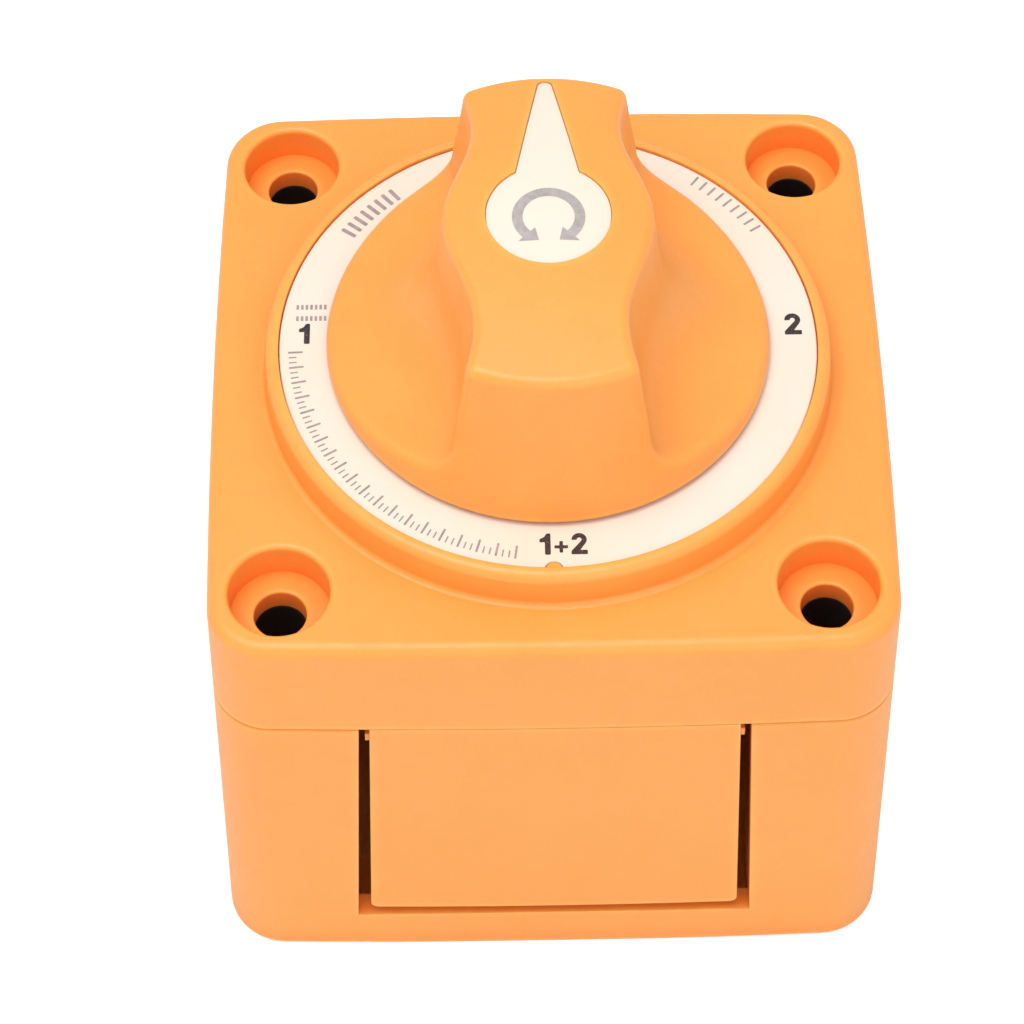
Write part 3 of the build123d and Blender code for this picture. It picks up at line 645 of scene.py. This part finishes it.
def softbox(name, place, aim, size, energy):
    light = bpy.data.lights.new(name, "AREA")
    light.shape = "DISK"
    light.size = size
    light.energy = energy
    lamp = bpy.data.objects.new(name, light)
    lamp.location = place
    lamp.rotation_euler = (Vector(aim) - Vector(place)).to_track_quat("-Z", "Y").to_euler()
    bpy.context.scene.collection.objects.link(lamp)


def white_world(strength):
    """White all round: pure white to the camera, and of this strength as a light."""
    world = bpy.data.worlds.new("studio")
    world.use_nodes = True
    tree = world.node_tree
    background = tree.nodes["Background"]
    background.inputs["Color"].default_value = (1.0, 1.0, 1.0, 1.0)
    path = tree.nodes.new("ShaderNodeLightPath")
    share = tree.nodes.new("ShaderNodeMapRange")
    share.inputs["To Min"].default_value = strength
    share.inputs["To Max"].default_value = 1.0
    tree.links.new(path.outputs["Is Camera Ray"], share.inputs["Value"])
    tree.links.new(share.outputs["Result"], background.inputs["Strength"])
    bpy.context.scene.world = world


def add_camera():
    """View camera: looks down at the front, with the object low in the frame of a shifted lens."""
    place = Vector(CAMERA_PLACE) * MM
    data = bpy.data.cameras.new("camera")
    data.lens, data.sensor_width = CAMERA_LENS, 36.0
    data.clip_start, data.clip_end = 0.05, 20.0
    data.shift_y = CAMERA_SHIFT
    camera = bpy.data.objects.new("camera", data)
    turn = (Vector(CAMERA_AIM) * MM - place).to_track_quat("-Z", "Y").to_matrix().to_4x4()
    roll = Matrix.Rotation(math.radians(CAMERA_ROLL), 4, "Z")
    camera.matrix_world = Matrix.Translation(place) @ turn @ roll
    bpy.context.scene.collection.objects.link(camera)
    bpy.context.scene.camera = camera
    # stepped curve on the distance from a marker: the lens is shifted at this place and straight elsewhere
    home = bpy.data.objects.new("camera_home", None)
    home.location = place
    bpy.context.scene.collection.objects.link(home)
    curve = data.driver_add("shift_y")
    curve.driver.type = "SUM"
    watched = curve.driver.variables.new()
    watched.type = "LOC_DIFF"
    watched.targets[0].id, watched.targets[1].id = camera, home
    for modifier in list(curve.modifiers):
        curve.modifiers.remove(modifier)
    curve.keyframe_points.clear()
    for distance, shift in ((0.0, CAMERA_SHIFT), (CAMERA_NEAR * MM, 0.0)):
        curve.keyframe_points.insert(distance, shift).interpolation = "CONSTANT"
    curve.extrapolation = "CONSTANT"


# ---------------------------------------------------------------- build

paint(["upper_case"], moulded_orange("orange_case", seed=1.0))
paint(["back_cover"], moulded_orange("orange_cover", seed=11.0))
side_plates = ["side_plate_front", "side_plate_right", "side_plate_rear", "side_plate_left"]
paint(side_plates, moulded_orange("orange_plate", seed=17.0))
paint(["knob"], moulded_orange("orange_knob", seed=23.0, gloss=0.03))
cream = label_cream()
paint(["label_ring", "pointer_insert"], cream)
paint(["contact_base", "rotor"], glass_filled_black())
stainless = worn_metal("stainless_steel", STEEL, STEEL_DULL, seed=51.0)
steel_parts = [
    "knob_screw", "base_screws", "flat_washers", "lock_washers", "terminal_nuts",
    "detent_springs", "contact_spring",
]
paint(steel_parts, stainless)
tinned = worn_metal("tinned_copper", TIN, TIN_DULL, seed=55.0, rough=(0.28, 0.5), edge_colour=COPPER_RUB)
paint(["contact_stud_1", "contact_stud_2", "contact_stud_common"], tinned)
bare_copper = worn_metal(
    "bare_copper", COPPER, COPPER_DULL, seed=59.0, brush=(0.05, 1, 1), rough=(0.25, 0.48),
    edge_colour=SILVER_FLASH,
)
paint(["moving_contact", "common_bus_bar"], bare_copper)
paint(["shaft_o_ring", "chamber_gasket", "stud_o_rings"], nitrile_rubber())

print_label(pad_print("ink_black", INK_BLACK, 81.0), pad_print("ink_grey", INK_GREY, 83.0))
print_emblem(pad_print("ink_emblem", EMBLEM_GREY, 85.0))
for stud in ("contact_stud_1", "contact_stud_2", "contact_stud_common"):
    build_stud(stud, tinned)

build_spring(stainless)

build_floor(pale_floor())
white_world(strength=0.64)
OBJECT_MIDDLE = (0, 0, 0.04)
softbox("overhead", (-0.15, -0.10, 0.95), OBJECT_MIDDLE, size=0.7, energy=5.6)
softbox("front_fill", (0.25, -0.80, 0.45), OBJECT_MIDDLE, size=0.6, energy=1.3)
add_camera()

scene = bpy.context.scene
scene.view_settings.view_transform = "Standard"
scene.view_settings.look = "None"
